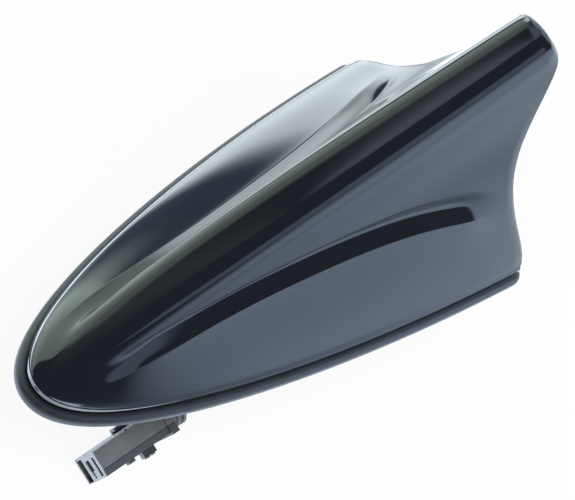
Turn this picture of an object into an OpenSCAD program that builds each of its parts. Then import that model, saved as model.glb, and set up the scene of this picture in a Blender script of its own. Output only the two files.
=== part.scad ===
// Fin antenna for a car roof: a glossy one-piece cover on a rubber gasket, the die-cast
// base with its boards and aerials, the roof fixing, and a short lead with its plug.
// +X points to the rear of the car, +Y to its right side, and z = 0 is the roof skin.

/* [Cover] */
// Length of the cover along its lower edge
cover_l = 163; // [156:1:172]
// Greatest width of the cover
cover_w = 75; // [71:0.5:80]
// Height of the fin above the cover's lower edge
fin_h = 73.5; // [69:0.5:78]
// Wall of the cover
cover_wall = 2.4; // [2:0.1:2.8]
// Distance from the fixing's axis to the cover's nose
nose_reach = 85; // [82:0.5:88]
// Height of the lip round the lower edge
lip_h = 1.2; // [0.9:0.1:1.6]
// How far the lip stands out from the skin
lip_out = 0.5; // [0.3:0.05:0.8]
// Bulge of the rear wall, seen from above
tail_bulge = 1.5; // [0.5:0.1:2.5]
// Radius of the two rear edges
tail_r = 2; // [1.2:0.1:3]

/* [Gasket] */
// Thickness of the gasket's floor
gasket_floor = 2; // [1.6:0.1:2.6]
// Height of the gasket's outer wall
gasket_h = 3.4; // [3:0.1:4]
// How far the gasket stands out beyond the cover
gasket_out = 1.7; // [1.2:0.1:2.2]
// Chamfer along the top of the gasket's wall
gasket_chamfer = 0.5; // [0.3:0.05:0.7]
// Gap between the gasket's wall and the base
gasket_gap = 0.3; // [0.2:0.05:0.5]

/* [Base] */
// Thickness of the flange that carries the cover
flange_t = 2.6; // [2.3:0.1:3.2]
// Setback of the flange from the cover's outline
flange_in = 0.9; // [0.7:0.1:1.2]
// Height of the raised deck inside the cover
deck_h = 2.4; // [2:0.1:3]
// Height of the posts under the main board
post_h = 2; // [1.6:0.1:2.6]
// Radius of the posts
post_r = 3; // [2.6:0.1:3.4]
// Radius of the neck that goes through the roof
neck_r = 9; // [8.5:0.1:10]
// Length of the neck below the roof skin
neck_l = 7; // [6:0.5:8]
// Radius of the two locating pegs
peg_r = 2; // [1.6:0.1:2.4]
// Length of the locating pegs below the roof skin
peg_l = 4; // [3:0.5:5]
// How far the collars at the pegs' roots stand out
peg_collar = 0.8; // [0.6:0.1:1.2]

/* [Fixing] */
// Radius of the fixing bolt
bolt_r = 3; // [2.5:0.1:3.2]
// Width across the flats of the bolt's head
bolt_af = 10; // [9:0.5:10.5]
// Height of the bolt's head
bolt_head_h = 4.8; // [4:0.2:6]
// Reach of the claw's legs
claw_reach = 13.5; // [12.5:0.25:15]
// Thickness of the claw's spring steel
claw_t = 1.2; // [1:0.1:1.5]

/* [Boards] */
// Length of the main board
board_l = 96; // [90:1:100]
// Width of the main board at its rear end
board_w = 34; // [32:1:36]
// Thickness of the boards
board_t = 1.6; // [1.2:0.1:2]
// Side of the satellite patch's ceramic
patch_a = 25; // [23:0.5:26]
// Thickness of the satellite patch's ceramic
patch_t = 5; // [4:0.25:6]
// Side of the positioning patch's ceramic
locator_a = 18; // [16:0.5:19]
// Thickness of the positioning patch's ceramic
locator_t = 4; // [3:0.25:5]
// Height of the shield can
can_h = 4.6; // [4:0.2:5.2]
// Thickness of the upright aerial board
blade_t = 1.2; // [1:0.1:1.6]

/* [Lead and plug] */
// Radius of the lead
lead_r = 2.2; // [2:0.1:2.4]
// Length of the plug's housing
plug_l = 25.5; // [23:0.5:28]
// Width of the plug's housing
plug_w = 7.5; // [7.2:0.1:8.2]
// Height of the plug's housing
plug_h = 9.8; // [9.4:0.1:10.6]
// Wall of the plug's housing
plug_wall = 0.9; // [0.7:0.05:1.1]

/* [Hidden] */
overrun = 1;

// Cover outline and ridge, as shares of half the width and of the height
plan_shares = [1.42, -0.62, 0.62, -0.42];
ridge_shares = [0.684, 0.40, -0.084];
// Lean of the trailing edge at each tenth of its height, as shares of the cover's length
lean_shares = [0, -0.007, -0.024, -0.037, -0.043, -0.043, -0.037, -0.030, -0.025, -0.030, -0.068];
lean_power = 5;
// Half sections from rim to ridge, at each fifth of the way from nose to tail
side_shares = [
    [1, 0.98, 0.87, 0.72, 0.60, 0.50, 0.42, 0.34, 0.25, 0.14, 0],
    [1, 0.98, 0.85, 0.69, 0.58, 0.50, 0.42, 0.34, 0.25, 0.14, 0],
    [1, 0.97, 0.82, 0.62, 0.49, 0.44, 0.42, 0.38, 0.31, 0.18, 0],
    [1, 0.98, 0.85, 0.64, 0.48, 0.39, 0.35, 0.32, 0.28, 0.17, 0],
    [1, 0.98, 0.87, 0.68, 0.53, 0.42, 0.36, 0.30, 0.25, 0.15, 0],
    [1, 0.98, 0.88, 0.73, 0.60, 0.48, 0.37, 0.27, 0.21, 0.14, 0]];
rise_shares = [
    [0, 0.25, 0.52, 0.69, 0.78, 0.85, 0.90, 0.945, 0.975, 0.998, 1.003],
    [0, 0.23, 0.48, 0.64, 0.75, 0.82, 0.88, 0.94, 0.975, 0.998, 1.003],
    [0, 0.12, 0.30, 0.45, 0.56, 0.65, 0.76, 0.87, 0.955, 0.996, 1.004],
    [0, 0.08, 0.21, 0.33, 0.41, 0.49, 0.64, 0.79, 0.945, 0.995, 1.003],
    [0, 0.06, 0.17, 0.28, 0.35, 0.42, 0.56, 0.76, 0.935, 0.995, 1.003],
    [0, 0.04, 0.11, 0.20, 0.31, 0.43, 0.60, 0.79, 0.94, 0.996, 1.004]];
span_n = 3;
ring_n = 33;
coarse = 3;

// Levels above the roof skin
cover_z = gasket_floor + flange_t;
deck_z = cover_z + deck_h;
board_z = deck_z + post_h;
board_top = board_z + board_t;

// Cover outline: t runs from 0 at the nose to 1 at the tail
tail_x = cover_l - nose_reach - tail_bulge;
run_l = cover_l - tail_bulge;
half_w = cover_w/2;
function poly(c, t, k = 0) = k == len(c) ? 0 : c[k] + t*poly(c, t, k + 1);
function plan_w(t) = half_w*t*poly(plan_shares, t);
function plan_slope(t) = half_w*sum([for (k = [0:len(plan_shares) - 1])
    (k + 1)*plan_shares[k]*pow(t, k)]);
function sum(v, k = 0) = k == len(v) ? 0 : v[k] + sum(v, k + 1);
function ridge_h(t) = fin_h*t*poly(ridge_shares, t);
function normal(t) = let (a = plan_slope(t), b = 2*run_l*t, m = sqrt(a*a + b*b)) [-a/m, b/m];
function rim_point(t, d) = let (n = normal(t))
    [-nose_reach + run_l*t*t + d*n[0], plan_w(t) + d*n[1]];

// Closed outline at a distance d outside the cover's edge
outline_n = 30;
corner_n = 4;
corner_min = 0.5;
tail_n = 6;
function outline(d) = let (
    r = max(corner_min, tail_r + d),
    t1 = sqrt((run_l + d - r)/run_l),
    near = [for (k = [1:outline_n]) rim_point(t1*k/outline_n, d)],
    yc = plan_w(t1) + d - r,
    corner = [for (k = [1:corner_n]) let (a = 90 - 90*k/corner_n)
        [tail_x + d - r + r*cos(a), yc + r*sin(a)]],
    tail = [for (k = [1:tail_n - 1]) let (c = 1 - 2*k/tail_n)
        [tail_x + d + tail_bulge*(1 - c*c), c*yc]],
    half = concat(near, corner))
    concat([rim_point(0, d)], half, tail,
        [for (k = [len(half) - 1:-1:0]) [half[k][0], -half[k][1]]]);

// Cover sections
function bspline(a, b, c, d, s) =
    ((1 - s)*(1 - s)*(1 - s)*a + (3*s*s*s - 6*s*s + 4)*b
     + (-3*s*s*s + 3*s*s + 3*s + 1)*c + s*s*s*d)/6;
function row_at(tab, t) = let (n = len(tab) - 1, k = t*n, i = min(floor(k), n - 1), s = k - i)
    [for (j = [0:len(tab[0]) - 1])
        bspline(i == 0 ? 2*tab[0][j] - tab[1][j] : tab[i - 1][j], tab[i][j], tab[i + 1][j],
            i == n - 1 ? 2*tab[n][j] - tab[n - 1][j] : tab[i + 2][j], s)];
function lean_at(z) = let (n = len(lean_shares) - 1, k = max(0, min(1, z))*n,
    i = min(floor(k), n - 1), s = k - i)
    cover_l*bspline(i == 0 ? 2*lean_shares[0] - lean_shares[1] : lean_shares[i - 1],
        lean_shares[i], lean_shares[i + 1],
        i == n - 1 ? 2*lean_shares[n] - lean_shares[n - 1] : lean_shares[i + 2], s);
function half_section(t) = let (
    n = normal(t), w = plan_w(t) - lip_out*n[1], h = ridge_h(t) - lip_h,
    a = row_at(side_shares, t), b = row_at(rise_shares, t), m = len(a) - 1,
    p = [for (j = [0:m]) [w*a[j], lip_h + h*b[j]]],
    q = concat([2*p[0] - p[1]], p, [[-p[m - 1][0], p[m - 1][1]]]))
    [for (j = [0:m - 1], k = [0:span_n - 1])
        bspline(q[j], q[j + 1], q[j + 2], q[j + 3], k/span_n),
     bspline(q[m - 1], q[m], q[m + 1], [-p[m - 2][0], p[m - 2][1]], 1)];
function place(t, y, z, x_in) =
    [-nose_reach + run_l*t*t + x_in + lean_at(z/ridge_h(t))*pow(t, 2*lean_power), y, cover_z + z];
function mirrored(v) = concat(v, [for (k = [len(v) - 2:-1:0]) [v[k][0], -v[k][1], v[k][2]]]);

// Outer skin ring, from the near rim over the ridge to the far rim
function skin_ring(t) = let (n = normal(t), w = plan_w(t), s = half_section(t))
    mirrored(concat(
        [place(t, -(w - lip_out/2), 0, 0), place(t, -w, lip_h/4, 0), place(t, -w, lip_h*3/4, 0)],
        [for (p = s) place(t, -p[0], p[1], -lip_out*n[0])]));

// Inner ring, set in by the wall
function inner_t(k) = sqrt((cover_wall*nose_wall_share
    + (run_l - cover_wall*nose_wall_share - cover_wall)*k*k)/run_l);
nose_wall_share = 1.6;
function inner_ring(t) = let (
    s = half_section(t), m = len(s) - 1,
    q = [for (j = [0:coarse:m]) let (a = s[max(0, j - 1)], b = s[min(m, j + 1)],
        d = b - a, l = norm(d), o = j == m ? [0, -1] : [-d[1]/l, d[0]/l])
        [max(0, s[j][0] + cover_wall*o[0]), s[j][1] + cover_wall*o[1]]])
    mirrored(concat([place(t, -q[0][0], 0, 0)],
        [for (j = [0:len(q) - 1]) place(t, -q[j][0], j == 0 ? lip_h : q[j][1], 0)]));

// Columns of the rear wall between a near and a far edge point
edge_shares = [0.134, 0.5, 1];
col_n = 9;
function tail_cols(p) = let (w = -p[1], r = min(tail_r, 0.8*w),
    b = tail_bulge*w/half_w,
    near = [for (k = [0:2]) let (c = edge_shares[k])
        [p[0] + r*sqrt(1 - (1 - c)*(1 - c)), -w + r*c, p[2]]],
    mid = [for (k = [-1:1]) let (c = k/2) [p[0] + r + b*(1 - c*c), (w - r)*c, p[2]]])
    concat(near, mid, [for (k = [2:-1:0]) [near[k][0], -near[k][1], near[k][2]]]);

module cover_skin() {
    t_last = sqrt(1 - tail_r/run_l);
    rings = [for (r = [1:ring_n]) skin_ring(t_last*r/ring_n)];
    m = len(rings[0]);
    mid = (m - 1)/2;
    inner = [for (r = [0:coarse:ring_n]) inner_ring(inner_t(r/ring_n))];
    mi = len(inner[0]);
    last = rings[ring_n - 1];
    cols = [for (j = [0:mid - 1]) for (q = tail_cols(last[j])) q];
    pts = concat([[-nose_reach, 0, cover_z]], [for (r = rings) for (p = r) p], cols,
        [for (r = inner) for (p = r) p]);
    oc = 1 + ring_n*m;
    oi = oc + mid*col_n;
    nb = ring_n/coarse;
    function o(r, j) = r == 0 ? 0 : 1 + (r - 1)*m + j;
    function c(j, k) = k == 0 ? o(ring_n, j) : k == col_n + 1 ? o(ring_n, m - 1 - j)
        : oc + j*col_n + k - 1;
    function i(r, j) = oi + r*mi + j;
    nose = [for (j = [0:m - 2]) [0, o(1, j), o(1, j + 1)]];
    skin = [for (r = [1:ring_n - 1], j = [0:m - 2]) each
        j < mid ? [[o(r, j), o(r + 1, j), o(r + 1, j + 1)], [o(r, j), o(r + 1, j + 1), o(r, j + 1)]]
                : [[o(r, j), o(r + 1, j), o(r, j + 1)], [o(r + 1, j), o(r + 1, j + 1), o(r, j + 1)]]];
    tail = [for (j = [0:mid - 2], k = [0:col_n]) each
        [[c(j, k), c(j, k + 1), c(j + 1, k + 1)], [c(j, k), c(j + 1, k + 1), c(j + 1, k)]]];
    tip = [for (k = [0:col_n]) [c(mid - 1, k), c(mid - 1, k + 1), o(ring_n, mid)]];
    lining = [for (r = [0:nb - 1], j = [0:mi - 2]) each
        [[i(r, j), i(r + 1, j + 1), i(r + 1, j)], [i(r, j), i(r, j + 1), i(r + 1, j + 1)]]];
    hi = (mi - 1)/2;
    front = [for (j = [0:hi - 1]) each j == hi - 1 ? [[i(0, j), i(0, mi - 1 - j), i(0, hi)]]
        : [[i(0, j), i(0, mi - 1 - j), i(0, j + 1)], [i(0, mi - 1 - j), i(0, mi - 2 - j), i(0, j + 1)]]];
    back = [for (j = [0:hi - 1]) each j == hi - 1 ? [[i(nb, j), i(nb, hi), i(nb, mi - 1 - j)]]
        : [[i(nb, j), i(nb, j + 1), i(nb, mi - 1 - j)], [i(nb, mi - 1 - j), i(nb, j + 1), i(nb, mi - 2 - j)]]];
    rim_near = [for (b = [0:nb - 1]) each [
        [i(b, 0), o(coarse*b + 1, 0), o(coarse*b, 0)], [i(b, 0), o(coarse*b + 2, 0), o(coarse*b + 1, 0)],
        [i(b + 1, 0), o(coarse*b + 3, 0), o(coarse*b + 2, 0)], [i(b, 0), i(b + 1, 0), o(coarse*b + 2, 0)]]];
    g = mi - 1;
    f = m - 1;
    rim_far = [for (b = [0:nb - 1]) each [
        [i(b, g), o(coarse*b, f), o(coarse*b + 1, f)], [i(b, g), o(coarse*b + 1, f), o(coarse*b + 2, f)],
        [i(b + 1, g), o(coarse*b + 2, f), o(coarse*b + 3, f)], [i(b, g), o(coarse*b + 2, f), i(b + 1, g)]]];
    half_c = floor(col_n/2) + 1;
    rim_tail = concat([[0, i(0, g), i(0, 0)]],
        [for (k = [0:half_c - 1]) [i(nb, 0), c(0, k + 1), c(0, k)]],
        [[i(nb, 0), i(nb, g), c(0, half_c)]],
        [for (k = [half_c:col_n]) [i(nb, g), c(0, k + 1), c(0, k)]]);
    faces = concat(nose, skin, tail, tip, lining, front, back, rim_near, rim_far, rim_tail);
    polyhedron(pts, [for (q = faces) [q[0], q[2], q[1]]], convexity = 8);
}

module fin_cover() color("#15181b") cover_skin();

// Fixing places on the base
bolt_x = 3.4;
duct_x = -4.9;
duct_gap = 0.6;
thread_gap = 0.3;
peg_xs = [-34, 38];

// Main board and its posts
board_back = 20.5;
board_x1 = tail_x - board_back;
board_x0 = board_x1 - board_l;
board_nose_share = 0.7;
board_taper_share = 0.3;
board_nose_w = board_w*board_nose_share;
post_side = 4.5;
post_y = board_w/2 - post_side;
post_in = 5;
post_edge = 0.2;
front_y = board_nose_w/2 - post_r - post_edge;
post_places = [[board_x0 + post_r + post_edge, -front_y], [board_x0 + post_r + post_edge, front_y],
    [board_x1 - post_in, -post_y], [board_x1 - post_in, post_y]];
screw_r = 1.1;

module roof_gasket() color("#2b2c2e") difference() {
    union() {
        linear_extrude(gasket_h - gasket_chamfer) polygon(outline(gasket_out));
        translate([0, 0, gasket_h - gasket_chamfer])
            linear_extrude(gasket_chamfer) polygon(outline(gasket_out - gasket_chamfer));
    }
    translate([0, 0, gasket_floor])
        linear_extrude(gasket_h) polygon(outline(gasket_gap - flange_in));
    translate([0, 0, -overrun])
        cylinder(gasket_h + 2*overrun, r = neck_r + gasket_gap, $fn = 64);
    translate([0, 0, -overrun])
        linear_extrude(overrun + seal_t) difference() {
            circle(seal_r1 + seal_gap, $fn = 64);
            circle(seal_r0 - seal_gap, $fn = 64);
        }
    for (x = peg_xs) translate([x, 0, -overrun])
        cylinder(gasket_h + 2*overrun, r = peg_r + peg_collar + gasket_gap, $fn = 32);
}

seal_in = 3;
seal_w = 5;
seal_r0 = neck_r + seal_in;
seal_r1 = seal_r0 + seal_w;
seal_t = 1.3;
seal_gap = 0.2;

module neck_seal() color("#3a3b3d") rotate_extrude($fn = 64) difference() {
    translate([seal_r0, 0]) square([seal_r1 - seal_r0, seal_t]);
    translate([(seal_r0 + seal_r1)/2, 0]) circle(seal_t/2, $fn = 24);
}

deck_in = cover_wall*nose_wall_share + lip_out + gasket_gap;
rib_t = 1.6;
rib_h = 1.2;
module base_plate() color("#a9abad") difference() {
    union() {
        translate([0, 0, gasket_floor]) linear_extrude(flange_t) polygon(outline(-flange_in));
        translate([0, 0, cover_z]) linear_extrude(deck_h) polygon(outline(-deck_in));
        translate([0, 0, -neck_l]) cylinder(neck_l + gasket_floor, r = neck_r, $fn = 64);
        for (x = peg_xs) translate([x, 0, 0]) {
            cylinder(gasket_floor, r = peg_r + peg_collar, $fn = 32);
            translate([0, 0, -peg_l]) cylinder(peg_l, r = peg_r, $fn = 32);
        }
        for (p = post_places) translate([p[0], p[1], deck_z])
            cylinder(post_h, r = post_r, $fn = 32);
        translate([0, 0, deck_z]) linear_extrude(rib_h) difference() {
            polygon(outline(-deck_in));
            polygon(outline(-deck_in - rib_t));
        }
    }
    translate([bolt_x, 0, -neck_l - overrun])
        cylinder(neck_l + deck_z + 2*overrun, r = bolt_r + thread_gap, $fn = 32);
    translate([duct_x, 0, -neck_l - overrun])
        cylinder(neck_l + deck_z + 2*overrun, r = lead_r + duct_gap, $fn = 32);
    for (p = post_places) translate([p[0], p[1], cover_z])
        cylinder(deck_h + post_h + overrun, r = screw_r + screw_gap, $fn = 24);
}
screw_gap = 0.15;

// Bolt and claw below the roof
claw_drop = 4.8;
claw_z = -neck_l - claw_drop;
bolt_flange_share = 0.6;
bolt_flange_r = bolt_af*bolt_flange_share;
bolt_flange_t = 1.4;
bolt_over = 0.8;
bolt_top = cover_z + bolt_over;
claw_hub_r = 5.8;
claw_foot = 2.4;
claw_leg_w = 5;
claw_turns = [0, 105, 255];
module fixing_bolt() color("#c9c5b4") {
    translate([bolt_x, 0, claw_z - claw_t]) cylinder(bolt_top - claw_z + claw_t, r = bolt_r, $fn = 32);
    translate([bolt_x, 0, claw_z - claw_t - bolt_flange_t]) cylinder(bolt_flange_t, r = bolt_flange_r, $fn = 48);
    translate([bolt_x, 0, claw_z - claw_t - bolt_flange_t - bolt_head_h])
        cylinder(bolt_head_h, r = bolt_af/sqrt(3), $fn = 6);
}

module claw_leg() {
    rise = -claw_z - claw_foot;
    translate([0, claw_leg_w/2, 0]) rotate([90, 0, 0]) linear_extrude(claw_leg_w)
        polygon([[claw_hub_r - claw_t, -claw_t], [claw_hub_r + claw_t, -claw_t],
            [claw_reach, rise - claw_foot], [claw_reach - claw_foot, rise],
            [claw_reach - claw_foot - claw_t, rise - claw_t/2], [claw_reach - claw_t*1.6, rise - claw_foot - claw_t],
            [claw_hub_r + claw_t/2, 0], [claw_hub_r - claw_t, 0]]);
}

module claw_clip() color("#8d9093") translate([bolt_x, 0, claw_z]) difference() {
    union() {
        translate([0, 0, -claw_t]) cylinder(claw_t, r = claw_hub_r, $fn = 48);
        for (a = claw_turns) rotate([0, 0, a]) claw_leg();
    }
    translate([0, 0, -claw_t - overrun]) cylinder(claw_t + 2*overrun, r = bolt_r + thread_gap, $fn = 32);
}

// Boards and aerials under the cover
module main_board() color("#2f6b45") difference() {
    translate([0, 0, board_z]) linear_extrude(board_t)
        polygon([[board_x0, -board_nose_w/2], [board_x0 + board_l*board_taper_share, -board_w/2],
            [board_x1, -board_w/2], [board_x1, board_w/2],
            [board_x0 + board_l*board_taper_share, board_w/2], [board_x0, board_nose_w/2]]);
    for (p = post_places) translate([p[0], p[1], board_z - overrun])
        cylinder(board_t + 2*overrun, r = screw_r + screw_gap, $fn = 24);
}

// Places along the board, from its front post to the coil
locator_front = 0.6;
patch_gap = 1.6;
coil_gap = 0.3;
coil_r = 2.4;
coil_foot_out = 0.6;
locator_x = board_x0 + 2*(post_r + post_edge) + locator_front + locator_a/2;
sat_x = locator_x + locator_a/2 + patch_gap + patch_a/2;
coil_x = sat_x + patch_a/2 + coil_gap + coil_foot_out + coil_r;

screw_head_r = 2.2;
screw_head_h = 1.6;
module board_screws() color("#b9bcc0") for (p = post_places) translate([p[0], p[1], 0]) {
    translate([0, 0, board_top]) cylinder(screw_head_h, r = screw_head_r, $fn = 32);
    translate([0, 0, cover_z + screw_gap]) cylinder(board_top - cover_z - screw_gap, r = screw_r, $fn = 24);
}

seat_gap = 0.3;
holder_l = 7;
holder_w = 9;
holder_grip = 5;
holder_web = 1.4;
holder_edge = 2.2;
holder_x = board_x1 - holder_l - holder_edge;
can_gap = 0.7;
can_x0 = coil_x + coil_r + coil_foot_out + can_gap;
can_l = holder_x - holder_web - can_gap - can_x0;
can_side = 4;
can_w = board_w - 2*can_side;
can_t = 0.4;
module shield_can() color("#c3c7ca") translate([can_x0, -can_w/2, board_top]) difference() {
    cube([can_l, can_w, can_h]);
    translate([can_t, can_t, -overrun]) cube([can_l - 2*can_t, can_w - 2*can_t, can_h + overrun - can_t]);
}

chip_h = 1.1;
// Place and size of each chip, as shares of the can's inside
chip_shares = [[0.05, 0.18, 0.26, 0.26], [0.06, 0.60, 0.22, 0.22], [0.39, 0.12, 0.20, 0.18],
    [0.37, 0.48, 0.35, 0.36], [0.79, 0.15, 0.16, 0.20], [0.79, 0.55, 0.15, 0.28]];
module board_chips() color("#26282b") {
    l = can_l - 2*can_t;
    w = can_w - 2*can_t;
    for (c = chip_shares) translate([can_x0 + can_t + c[0]*l, -w/2 + c[1]*w, board_top])
        cube([c[2]*l, c[3]*w, chip_h]);
}

electrode_t = 0.12;
electrode_in = 2.6;
pin_r = 0.6;
pin_up = 0.35;
module patch(x, a, t) difference() {
    translate([x - a/2, -a/2, board_top]) cube([a, a, t]);
    translate([x, a*pin_share, board_top - overrun]) cylinder(t + 2*overrun, r = pin_r + screw_gap, $fn = 24);
}
module electrode(x, a, t) difference() {
    translate([x - a/2 + electrode_in, -a/2 + electrode_in, board_top + t])
        cube([a - 2*electrode_in, a - 2*electrode_in, electrode_t]);
    translate([x, a*pin_share, board_top]) cylinder(t + overrun, r = pin_r + screw_gap, $fn = 24);
}
module feed_pin(x, a, t) translate([x, a*pin_share, board_top]) {
    cylinder(t + electrode_t, r = pin_r, $fn = 24);
    translate([0, 0, t + electrode_t]) cylinder(pin_up, r = 2*pin_r, $fn = 24);
}
pin_share = 0.12;

module sat_patch() color("#d8d2c4") patch(sat_x, patch_a, patch_t);
module sat_electrode() color("#d9dcdf") electrode(sat_x, patch_a, patch_t);
module sat_pin() color("#c9b36a") feed_pin(sat_x, patch_a, patch_t);
module locator_patch() color("#cfc7b6") patch(locator_x, locator_a, locator_t);
module locator_electrode() color("#d9dcdf") electrode(locator_x, locator_a, locator_t);
module locator_pin() color("#c9b36a") feed_pin(locator_x, locator_a, locator_t);

// Upright aerial board inside the fin: its top edge follows the ridge
blade_ahead = 2.5;
blade_back = 18.7;
blade_lift = 8.5;
blade_clear = 5.5;
blade_x0 = coil_x - coil_r - blade_ahead;
blade_x1 = tail_x - blade_back;
blade_z = board_top + can_h + blade_lift;
blade_room = cover_wall + blade_clear;
function ridge_at(x) = let (t = sqrt((x + nose_reach)/run_l)) cover_z + ridge_h(t);
blade_n = 8;
function blade_edge() = [for (k = [0:blade_n]) let (x = blade_x0 + (blade_x1 - blade_x0)*k/blade_n)
    [x, ridge_at(x) - blade_room]];
module blade_board() color("#35694a") translate([0, blade_t/2, 0]) rotate([90, 0, 0])
    linear_extrude(blade_t) polygon(concat([[blade_x1, blade_z], [blade_x0, blade_z]], blade_edge()));

trace_t = 0.1;
trace_w = 1.6;
trace_in = 2.5;
trace_n = 7;
module blade_trace() color("#c98d52") for (k = [0:trace_n - 1]) {
    x = blade_x0 + trace_in + k*(blade_x1 - blade_x0 - 2*trace_in - trace_w)/(trace_n - 1);
    h = ridge_at(x) - blade_room - trace_in - blade_z - trace_in;
    translate([x, -blade_t/2 - trace_t, blade_z + trace_in]) cube([trace_w, trace_t, h]);
    if (k < trace_n - 1) translate([x, -blade_t/2 - trace_t,
        k % 2 == 0 ? blade_z + trace_in + h - trace_w : blade_z + trace_in])
        cube([(blade_x1 - blade_x0 - 2*trace_in - trace_w)/(trace_n - 1) + trace_w, trace_t, trace_w]);
}

module blade_holder() color("#1f2124") difference() {
    union() {
        translate([holder_x, -holder_w/2, board_top]) cube([holder_l, holder_w, blade_z - board_top + holder_grip]);
        translate([holder_x - holder_web, -holder_w/2, board_top])
            cube([holder_web, holder_w, blade_z - board_top - holder_web]);
    }
    translate([holder_x - overrun, -blade_t/2 - trace_t - seat_gap, blade_z])
        cube([holder_l + 2*overrun, blade_t + 2*trace_t + 2*seat_gap, holder_grip + overrun]);
}

coil_wire = 0.45;
coil_turns = 9;
coil_foot_h = 1.4;
coil_h = blade_z - board_top - coil_foot_h;
module loading_coil() color("#b8864b") translate([coil_x, 0, board_top + coil_foot_h])
    rotate_extrude($fn = 32) difference() {
        square([coil_r, coil_h]);
        for (k = [0:coil_turns]) translate([coil_r + coil_wire/2, k*coil_h/coil_turns])
            circle(coil_wire, $fn = 16);
    }
module coil_foot() color("#c3c7ca") translate([coil_x, 0, board_top])
    cylinder(coil_foot_h, r = coil_r + coil_foot_out, $fn = 32);

// Lead: from the board, down the neck, to the plug under the nose
socket_gap = 0.4;
socket_h = post_h - socket_gap;
socket_lid = 0.6;
socket_wall = 0.9;
lead_gap = 0.25;
module lead_socket() color("#c9b36a") translate([duct_x, 0, board_z - socket_h]) difference() {
    cylinder(socket_h, r = lead_r + lead_gap + socket_wall, $fn = 32);
    translate([0, 0, -overrun])
        cylinder(socket_h - socket_lid + overrun, r = lead_r + lead_gap, $fn = 32);
}

gland_t = 2;
gland_lip = 1.2;
gland_slack = 0.05;
module lead_gland() color("#202124") translate([duct_x, 0, -neck_l]) difference() {
    union() {
        translate([0, 0, -gland_t]) cylinder(gland_t, r = lead_r + gland_lip, $fn = 32);
        cylinder(gland_t, r = lead_r + duct_gap - gland_slack, $fn = 32);
    }
    translate([0, 0, -gland_t - overrun]) cylinder(2*gland_t + 2*overrun, r = lead_r + lead_gap, $fn = 32);
}

// Plug axes: face centre, then turns about X, Y and Z
plug_face = [-68, -19.5, -18];
plug_turn = [14.5, -9.4, 1.6];
boot_l = 6;
boot_grip = 4;
function turned(p) = let (a = plug_turn[0], b = plug_turn[1], c = plug_turn[2],
    y = p[1]*cos(a) - p[2]*sin(a), z = p[1]*sin(a) + p[2]*cos(a),
    x2 = p[0]*cos(b) + z*sin(b), z2 = -p[0]*sin(b) + z*cos(b))
    [x2*cos(c) - y*sin(c), x2*sin(c) + y*cos(c), z2] + plug_face;
module at_plug() translate(plug_face) rotate(plug_turn) children();

// The lead drops out of the neck, turns at one bend radius, climbs, and levels out into the
// boot, while it swings round in plan from the neck to the plug's axis.
lead_sides = 10;
lead_bend_r = 11;
lead_run = 5;
lead_start = [duct_x, 0, board_z - socket_lid];
lead_exit = [duct_x, 0, -neck_l - gland_t - gland_lip];
lead_meet = turned([plug_l + boot_l + lead_run, 0, 0]);
lead_end = turned([plug_l + boot_l - boot_grip, 0, 0]);
lead_axis = (lead_meet - lead_end)/norm(lead_meet - lead_end);
lead_span = lead_meet - lead_exit;
swing = atan2(lead_span[1], lead_span[0]) - atan2(-lead_axis[1], -lead_axis[0]);
half_swing = swing - 360*round(swing/360);
swing_r = norm([lead_span[0], lead_span[1]])/(2*sin(half_swing));
swing_l = swing_r*half_swing*PI/90;
fall = asin(lead_axis[2]);
climb_across = swing_l - lead_bend_r*(1 + sin(fall));
climb_down = lead_bend_r*cos(fall) - lead_span[2];
climb = atan2(climb_across, climb_down)
    - acos(2*lead_bend_r/norm([climb_across, climb_down]));
climb_l = climb_across*cos(climb) - climb_down*sin(climb);
// Profile of the lead from the neck: how far along, and how far below the neck's end
function lead_turn(a) = [lead_bend_r*(1 - cos(a)), -lead_bend_r*sin(a)];
climb_start = lead_turn(90 + climb);
climb_end = climb_start + climb_l*[cos(climb), sin(climb)];
function lead_level(a) = climb_end + lead_bend_r*[sin(climb) - sin(climb - a), cos(climb - a) - cos(climb)];
turn_n = 9;
climb_n = 3;
level_n = 5;
lead_profile = concat([for (k = [0:turn_n - 1]) lead_turn((90 + climb)*k/turn_n)],
    [for (k = [0:climb_n - 1]) climb_start + (climb_end - climb_start)*k/climb_n],
    [for (k = [0:level_n]) lead_level((climb + fall)*k/level_n)]);
first_heading = atan2(-lead_axis[1], -lead_axis[0]) + 2*half_swing;
function lead_at(q) = let (a = first_heading + 90 - q[0]/swing_r*180/PI)
    lead_exit + swing_r*[sin(first_heading), -cos(first_heading), 0]
        + [swing_r*cos(a), swing_r*sin(a), q[1]];
function lead_line() = concat([lead_start], [for (q = lead_profile) lead_at(q)], [lead_end]);
function cross_unit(a, b) = let (c = cross(a, b)) c/norm(c);
module tube(line, r, sides) {
    n = len(line);
    ring = [for (k = [0:n - 1]) let (
        d = line[min(n - 1, k + 1)] - line[max(0, k - 1)], t = d/norm(d),
        u = cross_unit([3, -4, 0], t), v = cross(t, u))
        for (a = [0:sides - 1]) line[k] + r*(u*cos(360*a/sides) + v*sin(360*a/sides))];
    side = [for (k = [0:n - 2], a = [0:sides - 1]) let (b = (a + 1) % sides) each
        [[k*sides + a, k*sides + b, (k + 1)*sides + b], [k*sides + a, (k + 1)*sides + b, (k + 1)*sides + a]]];
    ends = [for (a = [1:sides - 2]) each
        [[0, a + 1, a], [(n - 1)*sides, (n - 1)*sides + a, (n - 1)*sides + a + 1]]];
    polyhedron(ring, [for (q = concat(side, ends)) [q[0], q[2], q[1]]]);
}
module lead() color("#303236") tube(lead_line(), lead_r, lead_sides);

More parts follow.
